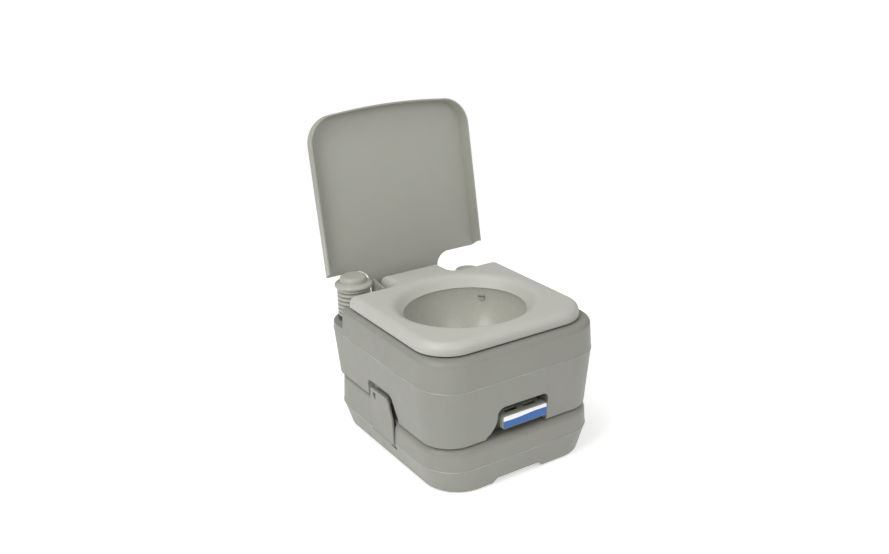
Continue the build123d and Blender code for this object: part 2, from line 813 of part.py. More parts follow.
def pump_pickup_tube():
    low = flush_rear_bottom_z + 12
    high = shelf_z - 34
    return ring(pump_x, pump_y, low, high, 7, 4.5)


def pump_strainer():
    # Slotted cup on the foot of the pickup tube.
    low = flush_rear_bottom_z + 5
    cup = post(pump_x, pump_y, low, low + 18, 10) - post(pump_x, pump_y, low + 7, low + 19, 7)
    cup = cup - post(pump_x, pump_y, low + 2, low + 8, 6)
    for angle in (0, 60, 120):
        cup = cup - Pos(pump_x, pump_y, low + 4.5) * Rot(0, 0, angle) * Box(30, 2, 3)
    return cup


def pump_bellows():
    # Folded rubber tube, open at both ends.
    pitch = (bellows_high_z - bellows_low_z) / bellows_folds
    outside = [(bellows_r - 7, bellows_low_z)]
    inside = [(bellows_r - 9, bellows_low_z)]
    for fold in range(bellows_folds):
        z = bellows_low_z + fold * pitch
        outside += [(bellows_r - 7, z + 0.12 * pitch), (bellows_r - 1, z + 0.38 * pitch)]
        outside += [(bellows_r, z + 0.5 * pitch), (bellows_r - 1, z + 0.62 * pitch)]
        outside += [(bellows_r - 7, z + 0.88 * pitch)]
        inside += [(bellows_r - 9, z + 0.12 * pitch), (bellows_r - 2.2, z + 0.5 * pitch)]
        inside += [(bellows_r - 9, z + 0.88 * pitch)]
    outside.append((bellows_r - 7, bellows_high_z))
    inside.append((bellows_r - 9, bellows_high_z))
    points = outside + inside[::-1]
    profile = make_face(Polyline(*[(r, 0, z) for r, z in points], close=True))
    return Pos(pump_x, pump_y, 0) * revolve(profile, Axis.Z)


def pump_collar():
    # Flat disc that closes the top of the bellows.
    disc = post(pump_x, pump_y, bellows_high_z, pump_collar_top_z, pump_collar_r)
    disc = fillet(disc.edges().sort_by(Axis.Z)[-1], 3.5)
    disc = fillet(disc.edges().sort_by(Axis.Z)[0], 1.5)
    return disc - post(pump_x, pump_y, bellows_high_z - 1, pump_collar_top_z - 3, pump_collar_r - 6)


def pump_knob():
    # Round button that the hand presses, on a short waist.
    waist = post(pump_x, pump_y, pump_collar_top_z, pump_collar_top_z + 4, pump_knob_r - 4)
    button = post(pump_x, pump_y, pump_collar_top_z + 3, pump_knob_top_z, pump_knob_r)
    button = fillet(button.edges().sort_by(Axis.Z)[-1], 7)
    button = fillet(button.edges().sort_by(Axis.Z)[0], 2)
    return waist + button


def filler_cap_seal():
    return ring(filler_x, filler_y, filler_neck_z, filler_neck_z + 2, filler_neck_r, filler_neck_r - 5)


def filler_cap():
    # Screw cap with grip ribs, over the neck.
    low = filler_neck_z - 20
    cap = post(filler_x, filler_y, low, filler_cap_top_z, filler_cap_r)
    cap = fillet(cap.edges().sort_by(Axis.Z)[-1], 3)
    cap = cap - post(filler_x, filler_y, low - 1, filler_neck_z + 2, filler_neck_r + fit)
    for step in range(cap_ribs):
        angle = radians(360 / cap_ribs * step)
        x = filler_x + filler_cap_r * cos(angle)
        y = filler_y + filler_cap_r * sin(angle)
        cap = cap + post(x, y, low, filler_cap_top_z - 4, 0.9)
    return cap


parts = {
    "waste_tank": waste_tank,
    "valve_housing": valve_housing,
    "valve_seal": valve_seal,
    "valve_screws": valve_screws,
    "valve_blade": valve_blade,
    "valve_handle": valve_handle,
    "handle_label": handle_label,
    "latch_left": latch_left,
    "latch_right": latch_right,
    "latch_pins": latch_pins,
    "pour_spout": pour_spout,
    "spout_retainer": spout_retainer,
    "spout_swivel_seal": spout_swivel_seal,
    "spout_cap_seal": spout_cap_seal,
    "spout_cap": spout_cap,
    "flush_tank": flush_tank,
    "bowl": bowl,
    "bowl_outlet_seal": bowl_outlet_seal,
    "flush_spreader": flush_spreader,
    "flush_hose": flush_hose,
    "pump_base": pump_base,
    "pump_valve_body": pump_valve_body,
    "pump_check_ball": pump_check_ball,
    "pump_pickup_tube": pump_pickup_tube,
    "pump_strainer": pump_strainer,
    "pump_bellows": pump_bellows,
    "pump_collar": pump_collar,
    "pump_knob": pump_knob,
    "filler_cap_seal": filler_cap_seal,
    "filler_cap": filler_cap,
    "hinge_pin_left": hinge_pin_left,
    "hinge_pin_right": hinge_pin_right,
    "seat": seat,
    "seat_bumpers": seat_bumpers,
    "lid": lid,
}
os.makedirs("parts", exist_ok=True)
for name, make in parts.items():
    shape = make()
    print(name, shape.is_valid, round(shape.volume), len(shape.solids()))
    export_step(shape, f"parts/{name}.step")
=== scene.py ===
import bmesh
import bpy
from math import atan2, pi, radians
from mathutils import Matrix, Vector


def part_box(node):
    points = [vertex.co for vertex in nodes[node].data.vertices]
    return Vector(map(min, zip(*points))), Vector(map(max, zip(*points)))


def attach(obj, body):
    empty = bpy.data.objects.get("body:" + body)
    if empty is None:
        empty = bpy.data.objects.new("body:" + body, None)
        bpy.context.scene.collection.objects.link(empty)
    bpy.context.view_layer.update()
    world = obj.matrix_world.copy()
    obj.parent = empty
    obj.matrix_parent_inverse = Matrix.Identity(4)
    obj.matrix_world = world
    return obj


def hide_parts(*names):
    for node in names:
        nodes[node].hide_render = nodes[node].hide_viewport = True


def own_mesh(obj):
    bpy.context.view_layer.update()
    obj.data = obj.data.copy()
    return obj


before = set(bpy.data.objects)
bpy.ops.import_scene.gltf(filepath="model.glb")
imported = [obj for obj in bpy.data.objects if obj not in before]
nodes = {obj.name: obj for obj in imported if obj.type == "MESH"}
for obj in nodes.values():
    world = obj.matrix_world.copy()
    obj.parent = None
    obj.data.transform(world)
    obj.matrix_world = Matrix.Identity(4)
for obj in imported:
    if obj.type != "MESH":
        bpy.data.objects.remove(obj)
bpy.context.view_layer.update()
print("frame loaded,", len(nodes), "CAD nodes")

mm = 0.001
facetLimit = 0.00002

cameraLook = {
    "place": (-0.94642, -1.43015, 0.96567),
    "turn": (69.287, 1.145, -33.019),
    "lens": 40.5,
    "sensor": 36,
}
lightLook = {
    "keyPlace": (-1.8, -0.7, 1.5), "keySize": 1.2, "keyPower": 19.0,
    "frontPlace": (0.3, -2.4, 2.0), "frontSize": 1.6, "frontPower": 17.0,
    "topPlace": (-0.7, 0.2, 2.3), "topSize": 1.6, "topPower": 18.0,
    "skyColour": (1.0, 1.0, 1.0, 1.0), "skyStrength": 0.42, "backdropStrength": 1.0,
}
floorLook = {
    "radius": 1.55, "low": -0.0004, "colour": (0.93, 0.93, 0.93, 1.0), "glow": 0.42, "rough": 0.8,
    "specular": 0.2,
}
lampAim = (0, 0, 0.25)


def deselectAll():
    if bpy.context.object and bpy.context.object.mode != "OBJECT":
        bpy.ops.object.mode_set(mode="OBJECT")
    bpy.ops.object.select_all(action="DESELECT")


def addAreaLight(name, place, size, power):
    data = bpy.data.lights.new(name, "AREA")
    data.shape = "DISK"
    data.size = size
    data.energy = power
    lamp = bpy.data.objects.new(name, data)
    lamp.location = place
    lamp.rotation_euler = (Vector(lampAim) - Vector(place)).to_track_quat("-Z", "Y").to_euler()
    bpy.context.scene.collection.objects.link(lamp)


def setUpStudio():
    cameraData = bpy.data.cameras.new("studioCamera")
    cameraData.lens = cameraLook["lens"]
    cameraData.sensor_width = cameraLook["sensor"]
    camera = bpy.data.objects.new("studioCamera", cameraData)
    camera.location = cameraLook["place"]
    camera.rotation_euler = [radians(a) for a in cameraLook["turn"]]
    bpy.context.scene.collection.objects.link(camera)
    bpy.context.scene.camera = camera
    for lamp in ("key", "front", "top"):
        place, size, power = (lightLook[lamp + word] for word in ("Place", "Size", "Power"))
        addAreaLight(lamp + "Light", place, size, power)
    world = bpy.data.worlds.new("studioSky")
    world.use_nodes = True
    tree = world.node_tree
    sky = tree.nodes["Background"]
    sky.inputs["Color"].default_value = lightLook["skyColour"]
    sky.inputs["Strength"].default_value = lightLook["skyStrength"]
    # the lens sees plain white where the pieces are lit by a dimmer sky
    backdrop = tree.nodes.new("ShaderNodeBackground")
    backdrop.inputs["Color"].default_value = lightLook["skyColour"]
    backdrop.inputs["Strength"].default_value = lightLook["backdropStrength"]
    rays = tree.nodes.new("ShaderNodeLightPath")
    choose = tree.nodes.new("ShaderNodeMixShader")
    tree.links.new(rays.outputs["Is Camera Ray"], choose.inputs[0])
    tree.links.new(sky.outputs[0], choose.inputs[1])
    tree.links.new(backdrop.outputs[0], choose.inputs[2])
    tree.links.new(choose.outputs[0], tree.nodes["World Output"].inputs["Surface"])
    bpy.context.scene.world = world
    bpy.context.scene.view_settings.view_transform = "Standard"
    deselectAll()
    bpy.ops.mesh.primitive_circle_add(
        vertices=96, radius=floorLook["radius"], fill_type="NGON", location=(0, 0, floorLook["low"])
    )
    floor = bpy.context.object
    floor.name = "studioFloor"
    bpy.ops.object.transform_apply(location=True, rotation=True, scale=True)
    paper = bpy.data.materials.new("floorPaper")
    paper.use_nodes = True
    shader = paper.node_tree.nodes["Principled BSDF"]
    shader.inputs["Base Color"].default_value = floorLook["colour"]
    shader.inputs["Roughness"].default_value = floorLook["rough"]
    shader.inputs["Specular IOR Level"].default_value = floorLook["specular"]
    shader.inputs["Emission Color"].default_value = (1, 1, 1, 1)
    shader.inputs["Emission Strength"].default_value = floorLook["glow"]
    floor.data.materials.append(paper)


setUpStudio()
print("studio ready")


def newGroup(name, inputs, outputs):
    # inputs and outputs are (label, kind, value) rows
    group = bpy.data.node_groups.new(name, "ShaderNodeTree")
    kinds = {"colour": "NodeSocketColor", "value": "NodeSocketFloat"}
    for label, kind, value in inputs:
        socket = group.interface.new_socket(name=label, in_out="INPUT", socket_type=kinds[kind])
        socket.default_value = value
    for label, kind in outputs:
        group.interface.new_socket(name=label, in_out="OUTPUT", socket_type=kinds[kind])
    return group, group.nodes.new("NodeGroupInput"), group.nodes.new("NodeGroupOutput")


def addNode(tree, kind, settings=None, **inputs):
    # inputs are values, or (node, socket) pairs to link from; i0, i1 and i2 are sockets by number
    node = tree.nodes.new(kind)
    for key, value in (settings or {}).items():
        setattr(node, key, value)
    for key, value in inputs.items():
        socket = node.inputs[int(key[1:]) if key[1:].isdigit() else key]
        if isinstance(value, tuple) and len(value) == 2 and hasattr(value[0], "outputs"):
            tree.links.new(value[0].outputs[value[1]], socket)
        else:
            socket.default_value = value
    return node


def addMath(tree, operation, *values, clamp=False):
    settings = {"operation": operation, "use_clamp": clamp}
    return addNode(tree, "ShaderNodeMath", settings, **{f"i{at}": value for at, value in enumerate(values)})


def addNoise(tree, vector, scale, detail, rough=0.5):
    return addNode(tree, "ShaderNodeTexNoise", Vector=vector, Scale=scale, Detail=detail, Roughness=rough)


def addRange(tree, value, span, lowest=0.0):
    # stretches the span of values to run from lowest to 1
    node = addNode(tree, "ShaderNodeMapRange", Value=value)
    node.inputs["From Min"].default_value, node.inputs["From Max"].default_value = span
    node.inputs["To Min"].default_value = lowest
    return node


grainLook = {
    "broadScale": 5.0, "broadDetail": 3.0, "mottleScale": 46.0, "mottleDetail": 4.0, "mottleRough": 0.6,
    "fineDetail": 2.0, "mottleShare": 0.45, "shadeSpan": (0.5, 0.95), "fineHeight": 0.35, "middle": 0.5,
}


def buildMouldedGrain():
    # colour mottling, a fine pebble and slow waviness of a blow-moulded wall
    look = grainLook
    group, given, result = newGroup(
        "mouldedGrain",
        [
            ("Colour", "colour", (0.4, 0.4, 0.37, 1)),
            ("Shade Colour", "colour", (0.3, 0.3, 0.28, 1)),
            ("Variation", "value", 0.3),
            ("Roughness", "value", 0.45),
            ("Spread", "value", 0.08),
            ("Grain Size", "value", 700.0),
            ("Waviness", "value", 0.3),
        ],
        [("Colour", "colour"), ("Roughness", "value"), ("Height", "value")],
    )
    place = (addNode(group, "ShaderNodeTexCoord"), "Object")
    broad = addNoise(group, place, look["broadScale"], look["broadDetail"])
    mottle = addNoise(group, place, look["mottleScale"], look["mottleDetail"], look["mottleRough"])
    grain = addNoise(group, place, (given, "Grain Size"), look["fineDetail"])
    both = addMath(group, "MULTIPLY_ADD", (mottle, "Fac"), look["mottleShare"], (broad, "Fac"))
    shade = addRange(group, (both, 0), look["shadeSpan"])
    amount = addMath(group, "MULTIPLY", (shade, 0), (given, "Variation"))
    colour = addNode(group, "ShaderNodeMix", {"data_type": "RGBA"}, i0=(amount, 0))
    group.links.new(given.outputs["Colour"], colour.inputs[6])
    group.links.new(given.outputs["Shade Colour"], colour.inputs[7])
    centred = addMath(group, "SUBTRACT", (mottle, "Fac"), look["middle"])
    rough = addMath(group, "MULTIPLY_ADD", (centred, 0), (given, "Spread"), (given, "Roughness"), clamp=True)
    wave = addMath(group, "MULTIPLY", (mottle, "Fac"), (given, "Waviness"))
    height = addMath(group, "MULTIPLY_ADD", (grain, "Fac"), look["fineHeight"], (wave, 0))
    group.links.new(colour.outputs[2], result.inputs["Colour"])
    group.links.new(rough.outputs[0], result.inputs["Roughness"])
    group.links.new(height.outputs[0], result.inputs["Height"])
    return group


wearLook = {"samples": 4, "leanSpan": (0.995, 0.9), "patchDetail": 5.0, "patchSpan": (0.42, 0.6)}


def buildEdgeWear():
    # rubbed edges, found by how far a rounded normal leans from the real one, broken up by noise
    look = wearLook
    group, given, result = newGroup(
        "edgeWear",
        [("Radius", "value", 0.0015), ("Amount", "value", 0.5), ("Patch Size", "value", 60.0)],
        [("Mask", "value")],
    )
    place = (addNode(group, "ShaderNodeTexCoord"), "Object")
    surface = addNode(group, "ShaderNodeNewGeometry")
    rounded = addNode(group, "ShaderNodeBevel", {"samples": look["samples"]}, Radius=(given, "Radius"))
    dot = {"operation": "DOT_PRODUCT"}
    lean = addNode(group, "ShaderNodeVectorMath", dot, i0=(rounded, 0), i1=(surface, "Normal"))
    edge = addRange(group, (lean, "Value"), look["leanSpan"])
    patches = addNoise(group, place, (given, "Patch Size"), look["patchDetail"])
    broken = addRange(group, (patches, "Fac"), look["patchSpan"])
    rubbed = addMath(group, "MULTIPLY", (edge, 0), (broken, 0))
    mask = addMath(group, "MULTIPLY", (rubbed, 0), (given, "Amount"), clamp=True)
    group.links.new(mask.outputs[0], result.inputs["Mask"])
    return group


marksLook = {
    "turn": (0.4, 0.5, 0.9), "stretch": (1.0, 14.0, 14.0), "streakDetail": 6.0, "streakRough": 0.7,
    "streakSpan": (0.6, 0.72), "spotScale": 7.0, "spotDetail": 2.0, "spotSpan": (0.5, 0.65),
}


def buildHandlingMarks():
    # faint wipe marks and scuffs, long one way and thin the other
    look = marksLook
    group, given, result = newGroup(
        "handlingMarks", [("Amount", "value", 0.3), ("Length", "value", 9.0)], [("Mask", "value")]
    )
    place = (addNode(group, "ShaderNodeTexCoord"), "Object")
    turned = addNode(group, "ShaderNodeMapping", Vector=place, Rotation=look["turn"], Scale=look["stretch"])
    streaks = addNoise(group, (turned, 0), (given, "Length"), look["streakDetail"], look["streakRough"])
    thin = addRange(group, (streaks, "Fac"), look["streakSpan"])
    spots = addNoise(group, place, look["spotScale"], look["spotDetail"])
    where = addRange(group, (spots, "Fac"), look["spotSpan"])
    both = addMath(group, "MULTIPLY", (thin, 0), (where, 0))
    mask = addMath(group, "MULTIPLY", (both, 0), (given, "Amount"))
    group.links.new(mask.outputs[0], result.inputs["Mask"])
    return group


seamHighlightBreakLook = {"breakScale": 24.0, "breakDetail": 3.0, "breakSpan": (0.35, 0.6), "faintest": 0.35}


def buildSeamHighlight():
    # pale line where the two halves of a mould met, at a height on the piece; the parting line is real, its
    # paleness is a painted highlight standing in for the light its seam ridge catches
    look = seamHighlightBreakLook
    group, given, result = newGroup(
        "seamHighlightLine",
        [("Height", "value", 0.2015), ("Half Width", "value", 0.0008), ("Amount", "value", 0.7)],
        [("Mask", "value")],
    )
    place = (addNode(group, "ShaderNodeTexCoord"), "Object")
    axes = addNode(group, "ShaderNodeSeparateXYZ", Vector=place)
    away = addMath(group, "SUBTRACT", (axes, "Z"), (given, "Height"))
    gap = addMath(group, "ABSOLUTE", (away, 0))
    near = addMath(group, "LESS_THAN", (gap, 0), (given, "Half Width"))
    breaks = addNoise(group, place, look["breakScale"], look["breakDetail"])
    uneven = addRange(group, (breaks, "Fac"), look["breakSpan"], look["faintest"])
    line = addMath(group, "MULTIPLY", (near, 0), (uneven, 0))
    mask = addMath(group, "MULTIPLY", (line, 0), (given, "Amount"))
    group.links.new(mask.outputs[0], result.inputs["Mask"])
    return group


grainGroup = buildMouldedGrain()
wearGroup = buildEdgeWear()
seamHighlightGroup = buildSeamHighlight()
marksGroup = buildHandlingMarks()


def useGroup(tree, group, **values):
    node = tree.nodes.new("ShaderNodeGroup")
    node.node_tree = group
    for key, value in values.items():
        label = "".join(" " + c if c.isupper() else c for c in key).title()
        node.inputs[label].default_value = value
    return node


def mixColours(tree, mask, below, above):
    # below and above are (node, socket) pairs or colours
    mix = tree.nodes.new("ShaderNodeMix")
    mix.data_type = "RGBA"
    tree.links.new(mask[0].outputs[mask[1]], mix.inputs[0])
    for socket, value in ((6, below), (7, above)):
        if hasattr(value[0], "outputs"):
            tree.links.new(value[0].outputs[value[1]], mix.inputs[socket])
        else:
            mix.inputs[socket].default_value = value
    return mix


def mouldedPlastic(name, look):
    material = bpy.data.materials.new(name)
    material.use_nodes = True
    tree = material.node_tree
    shader = tree.nodes["Principled BSDF"]
    grain = useGroup(
        tree, grainGroup, colour=look["colour"], shadeColour=look["shade"], variation=look["variation"],
        roughness=look["rough"], spread=look["spread"], grainSize=look["grain"], waviness=look["wavy"],
    )
    wear = useGroup(tree, wearGroup, radius=look["wearWidth"], amount=look["wear"], patchSize=look["patch"])
    marks = useGroup(tree, marksGroup, amount=look["marks"], length=look["streak"])
    worn = mixColours(tree, (wear, 0), (grain, 0), look["rubbed"])
    top = mixColours(tree, (marks, 0), (worn, 2), look["rubbed"])
    # the tanks' parting line gets a paler colour here: a painted highlight along the seam
    if "seamHeight" in look:
        line = useGroup(
            tree, seamHighlightGroup, height=look["seamHeight"], halfWidth=look["seamWidth"], amount=look["seamHighlightAmount"]
        )
        top = mixColours(tree, (line, 0), (top, 2), look["seamHighlightColour"])
    tree.links.new(top.outputs[2], shader.inputs["Base Color"])
    rough = addMath(tree, "MULTIPLY_ADD", (marks, 0), look["marksRough"], (grain, "Roughness"), clamp=True)
    tree.links.new(rough.outputs[0], shader.inputs["Roughness"])
    # takes the hardness off moulded edges
    soft = addNode(tree, "ShaderNodeBevel", {"samples": look["softSamples"]}, Radius=look["softEdge"])
    bump = addNode(
        tree, "ShaderNodeBump", Strength=look["bump"], Distance=look["bumpDepth"], Height=(grain, "Height"),
        Normal=(soft, "Normal"),
    )
    tree.links.new(bump.outputs["Normal"], shader.inputs["Normal"])
    shader.inputs["Specular IOR Level"].default_value = look["specular"]
    shader.inputs["Metallic"].default_value = look["metal"]
    return material


plasticBase = {
    "variation": 0.6, "rough": 0.44, "spread": 0.14, "grain": 900.0, "wavy": 0.35, "wear": 0.5,
    "wearWidth": 0.0016, "patch": 60.0, "marks": 0.12, "marksRough": 0.4, "streak": 9.0, "bump": 0.3,
    "bumpDepth": 0.0004, "softEdge": 0.0009, "softSamples": 4, "specular": 0.4, "metal": 0.0,
}
tankTone = {
    "colour": (0.262, 0.264, 0.23, 1), "shade": (0.235, 0.237, 0.209, 1), "rubbed": (0.42, 0.42, 0.38, 1),
}
# the seam's pale colour is a painted highlight, not the plastic's own colour
seamHighlightLook = {"seamWidth": 0.0008, "seamHighlightAmount": 0.75, "seamHighlightColour": (0.52, 0.52, 0.475, 1)}
finishes = {
    "tank_plastic": tankTone,
    "seat_plastic": {
        "colour": (0.495, 0.495, 0.45, 1), "shade": (0.445, 0.445, 0.404, 1), "rubbed": (0.6, 0.6, 0.55, 1),
        "rough": 0.38, "wavy": 0.2,
    },
    "bowl_plastic": {
        "colour": (0.46, 0.46, 0.405, 1), "shade": (0.42, 0.42, 0.37, 1), "rubbed": (0.58, 0.58, 0.53, 1),
        "rough": 0.28, "wavy": 0.15,
    },
    "dark_plastic": {
        "colour": (0.09, 0.09, 0.086, 1), "shade": (0.07, 0.07, 0.068, 1), "rubbed": (0.2, 0.2, 0.19, 1),
        "rough": 0.5,
    },
    "rubber": {
        "colour": (0.03, 0.03, 0.03, 1), "shade": (0.02, 0.02, 0.02, 1), "rubbed": (0.09, 0.09, 0.085, 1),
        "rough": 0.7, "grain": 1400.0, "specular": 0.3,
    },
    "bellows_rubber": {
        "colour": (0.45, 0.452, 0.395, 1), "shade": (0.40, 0.402, 0.352, 1), "rubbed": (0.6, 0.6, 0.54, 1),
        "rough": 0.5, "wavy": 0.1, "wear": 0.25,
    },
    "hose": {
        "colour": (0.30, 0.30, 0.28, 1), "shade": (0.25, 0.25, 0.235, 1), "rubbed": (0.4, 0.4, 0.37, 1),
        "rough": 0.35,
    },
    "steel": {
        "colour": (0.55, 0.55, 0.54, 1), "shade": (0.45, 0.45, 0.44, 1), "rubbed": (0.75, 0.75, 0.74, 1),
        "rough": 0.32, "metal": 1.0, "grain": 2500.0, "wavy": 0.05,
    },
    "pin_plastic": {
        "colour": (0.33, 0.335, 0.30, 1), "shade": (0.30, 0.30, 0.27, 1), "rubbed": (0.48, 0.48, 0.44, 1),
    },
    "label": {
        "colour": (0.75, 0.76, 0.77, 1), "shade": (0.70, 0.71, 0.72, 1), "rubbed": (0.85, 0.85, 0.85, 1),
        "rough": 0.3,
    },
}
ownFinishes = {
    "flush_tank": {**tankTone, **seamHighlightLook, "seamHeight": 0.2015},
    "waste_tank": {**tankTone, **seamHighlightLook, "seamHeight": 0.0488},
    "lid": {
        "colour": (0.385, 0.387, 0.34, 1), "shade": (0.355, 0.357, 0.313, 1), "rubbed": (0.55, 0.55, 0.5, 1),
        "rough": 0.4, "marks": 0.2,
    },
    "valve_housing": {
        "colour": (0.17, 0.17, 0.155, 1), "shade": (0.14, 0.14, 0.128, 1), "rubbed": (0.3, 0.3, 0.28, 1),
    },
    "flush_spreader": {
        "colour": (0.42, 0.42, 0.37, 1), "shade": (0.37, 0.37, 0.33, 1), "rubbed": (0.5, 0.5, 0.45, 1),
    },
    "pump_top": {
        "colour": (0.40, 0.40, 0.352, 1), "shade": (0.36, 0.36, 0.318, 1), "rubbed": (0.58, 0.58, 0.53, 1),
    },
}


def finishName(words):
    # snake words to a camelCase material name
    first, *rest = words.split("_")
    return first + "".join(word.title() for word in rest) + "Finish"


materials = {
    name: mouldedPlastic(finishName(name), {**plasticBase, **look})
    for name, look in {**finishes, **ownFinishes}.items()
}
for name, node in nodes.items():
    slotName = node.data.materials[0].name.split(".")[0]
    for materialSlot in node.material_slots:
        materialSlot.link = "OBJECT"
        materialSlot.material = materials[name if name in ownFinishes else slotName]
print("materials ready,", len(materials))


def pickFaces(piece, test):
    # in edit mode, select the faces whose middle passes the test
    bpy.ops.mesh.select_mode(type="FACE")
    bpy.ops.mesh.select_all(action="DESELECT")
    mesh = bmesh.from_edit_mesh(piece.data)
    for face in mesh.faces:
        if test(face.calc_center_median()):
            face.select_set(True)
    mesh.select_flush_mode()
    bmesh.update_edit_mesh(piece.data)


def settle(piece, name, body, material, smoothAngle=35):
    # place applied, smooth by angle, named, finished and riding on its body
    deselectAll()
    piece.select_set(True)
    bpy.context.view_layer.objects.active = piece
    bpy.ops.object.transform_apply(location=True, rotation=True, scale=True)
    bpy.ops.object.shade_smooth_by_angle(angle=radians(smoothAngle))
    piece.name = name
    piece.data.name = name
    piece.data.materials.clear()
    piece.data.materials.append(material)
    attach(piece, body)


def applyModifier(piece, kind, **settings):
    modifier = piece.modifiers.new(kind.title(), kind)
    for key, value in settings.items():
        setattr(modifier, key, value)
    bpy.context.view_layer.objects.active = piece
    bpy.ops.object.modifier_apply(modifier=modifier.name)


def turnPiece(axisPlace, profile, steps):
    # like clay on a wheel: a line of points (radius, height), in mm, spun about an upright axis
    deselectAll()
    x, y = axisPlace
    radius, height = profile[0]
    bpy.ops.mesh.primitive_plane_add(size=mm, location=(x + radius * mm, y, height * mm))
    piece = bpy.context.object
    bpy.ops.object.transform_apply(location=True, rotation=True, scale=True)
    bpy.ops.object.mode_set(mode="EDIT")
    bpy.ops.mesh.select_all(action="SELECT")
    bpy.ops.mesh.merge(type="CENTER")
    for (r0, z0), (r1, z1) in zip(profile, profile[1:]):
        move = ((r1 - r0) * mm, 0, (z1 - z0) * mm)
        bpy.ops.mesh.extrude_region_move(TRANSFORM_OT_translate={"value": move})
    bpy.ops.mesh.select_all(action="SELECT")
    bpy.ops.mesh.spin(steps=steps, angle=2 * pi, center=(x, y, 0), axis=(0, 0, 1))
    bpy.ops.mesh.select_all(action="SELECT")
    bpy.ops.mesh.remove_doubles(threshold=facetLimit)
    bpy.ops.mesh.normals_make_consistent(inside=False)
    bpy.ops.object.mode_set(mode="OBJECT")
    return piece


# the pump's bellows: seven round folds with deep creases and a thin wall
# outer and inner are one fold's (radius in mm, share of the fold's height)
bellowsLook = {
    "axis": (-0.133, 0.165), "low": 221.0, "high": 279.0, "folds": 7, "steps": 64, "smooth": 60, "keep": 0.62,
    "outer": [(25.5, 0.02), (30.9, 0.17), (32.5, 0.36), (32.5, 0.64), (30.9, 0.83), (25.5, 0.98)],
    "inner": [(23.9, 0.1), (29.9, 0.38), (29.9, 0.62), (23.9, 0.9)],
}


def buildBellows():
    look = bellowsLook
    pitch = (look["high"] - look["low"]) / look["folds"]
    starts = [look["low"] + fold * pitch for fold in range(look["folds"])]
    outside, inside = (
        [(radius, start + share * pitch) for start in starts for radius, share in look[side]]
        for side in ("outer", "inner")
    )
    points = outside + inside[::-1]
    piece = turnPiece(look["axis"], points + points[:1], look["steps"])
    applyModifier(piece, "SUBSURF", levels=1, render_levels=1)
    settle(piece, "bellowsSleeve", "flush", materials["bellows_rubber"], look["smooth"])
    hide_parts("pump_bellows")
    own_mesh(piece)


# the pump's top: a sloped collar with a rolled edge, a groove and a wide knob with a shallow dish
pumpTopLook = {
    "axis": (-0.133, 0.165), "steps": 72, "smooth": 50,
    "profile": [
        (0, 279.6), (29.5, 279.6), (30.0, 279.0), (34.6, 279.0), (36.2, 279.9), (36.5, 282.0), (35.9, 284.2),
        (34.0, 286.2), (30.6, 287.6), (27.6, 288.0), (26.7, 287.7), (26.1, 288.3), (26.0, 289.6),
        (26.0, 293.6), (25.4, 296.6), (23.6, 298.9), (20.6, 299.9), (17.6, 299.9), (14.0, 299.4), (0, 299.0),
    ],
}


def buildPumpTop():
    look = pumpTopLook
    piece = turnPiece(look["axis"], look["profile"], look["steps"])
    applyModifier(piece, "SUBSURF", levels=1, render_levels=1)
    settle(piece, "pumpTop", "pump_head", materials["pump_top"], look["smooth"])
    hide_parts("pump_collar", "pump_knob")


# screw caps: an open cup with grip ribs round its skirt and a dished face
# lengths in mm, and heights as shares of the cap's depth
capBase = {
    "rib": 0.9, "ribs": 24, "ribShare": 0.25, "foot": 0.12, "shoulder": 0.86, "ribFoot": 0.15, "ribTop": 0.8,
    "bevel": 0.5, "bevelSteps": 2, "bevelAngle": 40, "crown": 0.3, "skirtEdge": 0.9, "footPick": 0.6,
    "endPick": 0.01,
}
fillerCapLook = {**capBase, "radius": 25.6, "wall": 2.3, "rim": 4.5, "dish": 1.4}
spoutCapLook = {**capBase, "radius": 25.1, "wall": 2.6, "rim": 4.0, "dish": 1.2}


def buildCap(look, depth):
    # upright cap with its face up, its skirt's foot at height 0, on the origin
    radius, rim, dish = (look[word] * mm for word in ("radius", "rim", "dish"))
    turn = 2 * pi / look["ribs"]
    deselectAll()
    bpy.ops.mesh.primitive_cylinder_add(
        vertices=4 * look["ribs"], radius=radius, depth=depth, location=(0, 0, depth / 2)
    )
    piece = bpy.context.object
    bpy.ops.object.transform_apply(location=True, rotation=True, scale=True)
    bpy.ops.object.mode_set(mode="EDIT")
    pickFaces(piece, lambda middle: middle.z < look["endPick"] * depth)
    bpy.ops.mesh.delete(type="FACE")
    pickFaces(piece, lambda middle: middle.z > (1 - look["endPick"]) * depth)
    bpy.ops.mesh.inset(thickness=rim, depth=0)
    bpy.ops.mesh.inset(thickness=dish, depth=-dish)
    bpy.ops.mesh.inset(thickness=rim, depth=0)
    bpy.ops.mesh.inset(thickness=2 * rim, depth=look["crown"] * dish)

    def onSkirt(middle):
        return middle.to_2d().length > look["skirtEdge"] * radius

    # a shoulder and a foot band, then one face in four between them pushed out as a rib
    pickFaces(
        piece,
        lambda middle: abs(middle.to_2d().length - radius) < mm and middle.z < look["skirtEdge"] * depth,
    )
    bpy.ops.mesh.bisect(plane_co=(0, 0, look["shoulder"] * depth), plane_no=(0, 0, 1))
    pickFaces(piece, lambda middle: onSkirt(middle) and middle.z < look["footPick"] * depth)
    bpy.ops.mesh.bisect(plane_co=(0, 0, look["foot"] * depth), plane_no=(0, 0, 1))
    pickFaces(
        piece,
        lambda middle: onSkirt(middle)
        and look["ribFoot"] * depth < middle.z < look["ribTop"] * depth
        and (atan2(middle.y, middle.x) % turn) / turn < look["ribShare"],
    )
    bpy.ops.mesh.extrude_region_shrink_fatten(TRANSFORM_OT_shrink_fatten={"value": look["rib"] * mm})
    bpy.ops.object.mode_set(mode="OBJECT")
    applyModifier(piece, "SOLIDIFY", thickness=look["wall"] * mm, offset=-1)
    applyModifier(
        piece, "BEVEL", width=look["bevel"] * mm, segments=look["bevelSteps"], limit_method="ANGLE",
        angle_limit=radians(look["bevelAngle"]),
    )
    return piece


